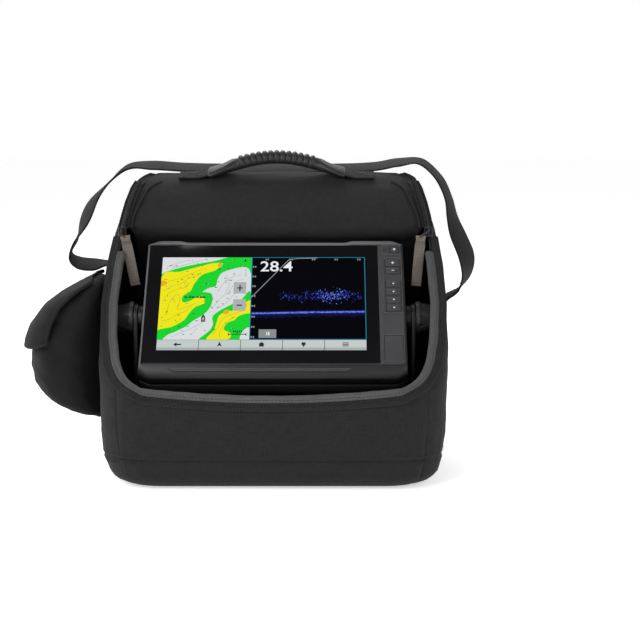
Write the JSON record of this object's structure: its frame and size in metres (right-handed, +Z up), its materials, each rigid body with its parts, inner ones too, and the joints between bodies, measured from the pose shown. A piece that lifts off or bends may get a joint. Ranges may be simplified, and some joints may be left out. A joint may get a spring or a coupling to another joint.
{
  "type": "portable fish finder",
  "caption": "Chart and sonar display on a tilting bracket with quick-release cradle, standing in a soft carry bag with battery, handle, strap and side pouch.",
  "frame": {"origin": "middle of the bag's flat underside, on the floor", "axes": "+Z up, +X to the viewer's right along the display's width, the screen faces -Y and leans back 45 degrees"},
  "size_m": [0.4401, 0.245, 0.3032],
  "materials": {
    "case_plastic": "fine textured moulding",
    "housing_plastic": "textured moulding",
    "key_rubber": "satin",
    "seal_rubber": "matt",
    "cover_glass": "gloss black, printed behind",
    "screen": "lit screen",
    "circuit_board": "solder mask",
    "bracket_plastic": "moulded nylon",
    "steel": "plain",
    "black_metal": "black lacquer",
    "bag_fabric": "woven nylon over thin foam",
    "binding": "ribbed tape",
    "zip": "coil zip on tape",
    "pull_tape": "folded herringbone tape",
    "webbing": "woven webbing",
    "grip_rubber": "satin",
    "tray_plastic": "vacuum formed sheet",
    "battery_plastic": "moulded case",
    "terminal": "plated tab"
  },
  "bodies": {
    "bag": {"bag_bottom": "bag_fabric", "bag_front_wall": "bag_fabric", "bag_side_left": "bag_fabric", "bag_side_right": "bag_fabric", "bag_back_wall": "bag_fabric", "bag_top_flap": "bag_fabric", "rim_binding": "binding", "zip_left": "zip", "zip_right": "zip", "handle_webbing": "webbing", "carry_grip": "grip_rubber", "shoulder_strap": "webbing", "d_ring_left": "black_metal", "d_ring_right": "black_metal", "side_pouch": "bag_fabric", "base_tray": "tray_plastic", "battery_case": "battery_plastic", "battery_lid": "battery_plastic", "battery_terminal_plus": "terminal", "battery_terminal_minus": "terminal", "bail_bracket": "bracket_plastic", "bail_screw_1": "steel", "bail_screw_2": "steel", "bail_screw_3": "steel", "bail_screw_4": "steel"},
    "cradle": {"cradle_frame": "bracket_plastic", "latch_pin": "steel"},
    "display": {"front_bezel": "case_plastic", "rear_housing": "housing_plastic", "housing_gasket": "seal_rubber", "cover_glass": "cover_glass", "lcd_panel": "screen", "main_board": "circuit_board", "keypad_mat": "seal_rubber", "card_reader": "black_metal", "case_screw_1": "steel", "case_screw_2": "steel", "case_screw_3": "steel", "case_screw_4": "steel", "power_socket": "housing_plastic", "sonar_socket": "housing_plastic"},
    "latch": {"cradle_latch": "case_plastic"},
    "left_knob": {"knob_left": "bracket_plastic", "knob_stud_left": "steel"},
    "right_knob": {"knob_right": "bracket_plastic", "knob_stud_right": "steel"},
    "card_cover": {"card_door": "case_plastic"},
    "left_slider": {"zip_slider_left": "black_metal"},
    "right_slider": {"zip_slider_right": "black_metal"},
    "left_pull": {"zip_pull_left": "pull_tape"},
    "right_pull": {"zip_pull_right": "pull_tape"},
    "power_button": {"power_key": "key_rubber"},
    "plus_button": {"plus_key": "key_rubber"},
    "minus_button": {"minus_key": "key_rubber"},
    "user_button_1": {"user_key_1": "key_rubber"},
    "user_button_2": {"user_key_2": "key_rubber"},
    "user_button_3": {"user_key_3": "key_rubber"},
    "user_button_4": {"user_key_4": "key_rubber"}
  },
  "joints": [
    {"name": "display_tilt", "type": "hinge", "parent": "bag", "child": "cradle", "pos_m": [0, -0.008, 0.146], "axis": [1, 0, 0], "range_deg": [-20, 30]},
    {"name": "display_release", "type": "slide", "parent": "cradle", "child": "display", "axis": [0, -0.7071, 0.7071], "range_m": [0, 0.03]},
    {"name": "cradle_latch_lever", "type": "hinge", "parent": "cradle", "child": "latch", "pos_m": [0, 0.02707, 0.14911], "axis": [1, 0, 0], "range_deg": [-14, 0], "stiffness_Nm_per_rad": 0.3, "springref_deg": 4.58},
    {"name": "left_knob_turn", "type": "hinge", "parent": "bag", "child": "left_knob", "pos_m": [-0.143, -0.008, 0.146], "axis": [1, 0, 0], "continuous": true},
    {"name": "right_knob_turn", "type": "hinge", "parent": "bag", "child": "right_knob", "pos_m": [0.143, -0.008, 0.146], "axis": [1, 0, 0], "continuous": true},
    {"name": "card_door_hinge", "type": "hinge", "parent": "display", "child": "card_cover", "pos_m": [0.1214, -0.06443, 0.12634], "axis": [0, 0.7071, 0.7071], "range_deg": [0, 100]},
    {"name": "left_zip_slide", "type": "slide", "parent": "bag", "child": "left_slider", "axis": [0.149, 0.574, 0.8052], "range_m": [0, 0.01]},
    {"name": "right_zip_slide", "type": "slide", "parent": "bag", "child": "right_slider", "axis": [-0.149, 0.574, 0.8052], "range_m": [0, 0.01]},
    {"name": "left_pull_swing", "type": "hinge", "parent": "left_slider", "child": "left_pull", "pos_m": [-0.1413, 0.0112, 0.2234], "axis": [1, 0, 0], "range_deg": [-75, 0]},
    {"name": "right_pull_swing", "type": "hinge", "parent": "right_slider", "child": "right_pull", "pos_m": [0.1413, 0.0112, 0.2234], "axis": [1, 0, 0], "range_deg": [-75, 0]},
    {"name": "power_button_press", "type": "slide", "parent": "display", "child": "power_button", "axis": [0, 0.7071, -0.7071], "range_m": [0, 0.001], "stiffness_N_per_m": 1500},
    {"name": "plus_button_press", "type": "slide", "parent": "display", "child": "plus_button", "axis": [0, 0.7071, -0.7071], "range_m": [0, 0.001], "stiffness_N_per_m": 1500},
    {"name": "minus_button_press", "type": "slide", "parent": "display", "child": "minus_button", "axis": [0, 0.7071, -0.7071], "range_m": [0, 0.001], "stiffness_N_per_m": 1500},
    {"name": "user_button_1_press", "type": "slide", "parent": "display", "child": "user_button_1", "axis": [0, 0.7071, -0.7071], "range_m": [0, 0.001], "stiffness_N_per_m": 1500},
    {"name": "user_button_2_press", "type": "slide", "parent": "display", "child": "user_button_2", "axis": [0, 0.7071, -0.7071], "range_m": [0, 0.001], "stiffness_N_per_m": 1500},
    {"name": "user_button_3_press", "type": "slide", "parent": "display", "child": "user_button_3", "axis": [0, 0.7071, -0.7071], "range_m": [0, 0.001], "stiffness_N_per_m": 1500},
    {"name": "user_button_4_press", "type": "slide", "parent": "display", "child": "user_button_4", "axis": [0, 0.7071, -0.7071], "range_m": [0, 0.001], "stiffness_N_per_m": 1500}
  ]
}
